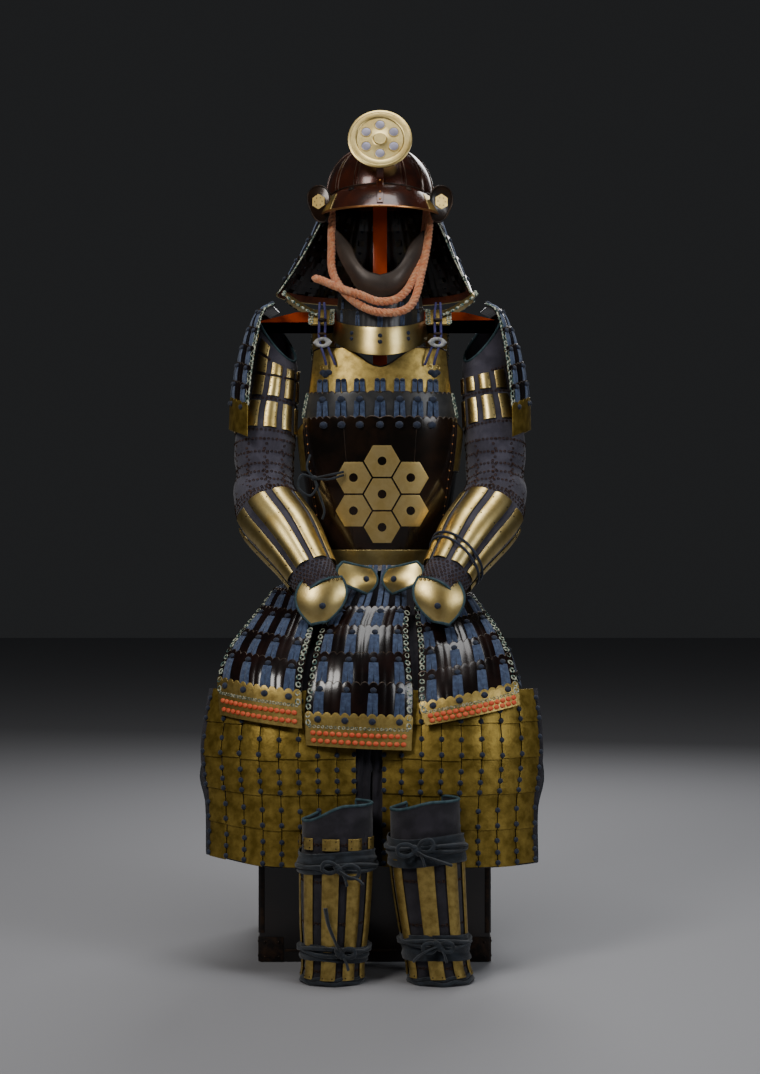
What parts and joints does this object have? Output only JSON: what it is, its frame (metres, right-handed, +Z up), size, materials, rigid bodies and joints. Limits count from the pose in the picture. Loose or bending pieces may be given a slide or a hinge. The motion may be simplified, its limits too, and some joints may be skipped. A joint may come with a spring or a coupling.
{
  "type": "samurai armour on a stand and armour chest",
  "caption": "Japanese lamellar armour in its hollow seated pose: helmet, cuirass, sleeves, tassets, thigh and shin guards, on a stand and lidded chest.",
  "frame": {"origin": "on the floor under the middle of the bounding box", "axes": "+Z up, the armour faces -Y, its left side as seen from the front is -X"},
  "size_m": [0.6474, 0.7152, 1.6345],
  "materials": {
    "chest": "black-brown lacquered wood",
    "stand": "orange-red lacquered wood",
    "iron": "russet lacquered iron, satin",
    "gold": "gilt plate, satin",
    "lacquer": "dark red-black lacquer, glossy",
    "grey": "grey-brown lacquer, satin",
    "cord": "salmon silk rope",
    "blueCord": "blue silk lacing",
    "oldGold": "worn gilding on leather, satin",
    "cloth": "grey-purple padded cloth",
    "darkCloth": "dark padded cloth"
  },
  "bodies": {
    "root": {"chest_body": "chest", "chest_lid": "chest", "stand_foot": "stand", "stand_post": "stand", "stand_shoulder_bar": "stand", "stand_crown": "stand", "helmet_bowl": "iron", "helmet_brim": "iron", "helmet_disc": "gold", "helmet_disc_mount": "iron", "helmet_flap_left": "iron", "helmet_flap_right": "iron", "neck_guard": "lacquer", "chin_guard": "grey", "throat_lames": "grey", "throat_plate": "gold", "helmet_cord_outer": "cord", "helmet_cord_inner": "cord", "cuirass_top_plate": "gold", "cuirass_lame": "lacquer", "cuirass_body": "lacquer", "cuirass_side_left": "lacquer", "cuirass_side_right": "lacquer", "armpit_plate_left": "gold", "armpit_plate_right": "gold", "cuirass_back": "lacquer", "waist_band": "gold", "shoulder_strap_left": "gold", "shoulder_strap_right": "gold", "strap_tie_left": "blueCord", "strap_tie_right": "blueCord", "shoulder_wing_left": "gold", "shoulder_wing_right": "gold", "shoulder_guard_left": "lacquer", "shoulder_guard_right": "lacquer", "shoulder_hem_left": "oldGold", "shoulder_hem_right": "oldGold", "sleeve_left": "cloth", "sleeve_right": "cloth", "hand_guard_left": "gold", "hand_guard_right": "gold", "thumb_guard_left": "gold", "thumb_guard_right": "gold", "tasset_front_centre": "lacquer", "tasset_front_left": "lacquer", "tasset_front_right": "lacquer", "tasset_side_left": "lacquer", "tasset_side_right": "lacquer", "tasset_back_left": "lacquer", "tasset_back_right": "lacquer", "thigh_apron": "darkCloth", "thigh_panel_left": "oldGold", "thigh_panel_right": "oldGold", "shin_guard_left": "darkCloth", "shin_guard_right": "darkCloth", "shin_tie_left_upper": "darkCloth", "shin_tie_left_lower": "darkCloth", "shin_tie_right_upper": "darkCloth", "shin_tie_right_lower": "darkCloth"}
  },
  "joints": []
}
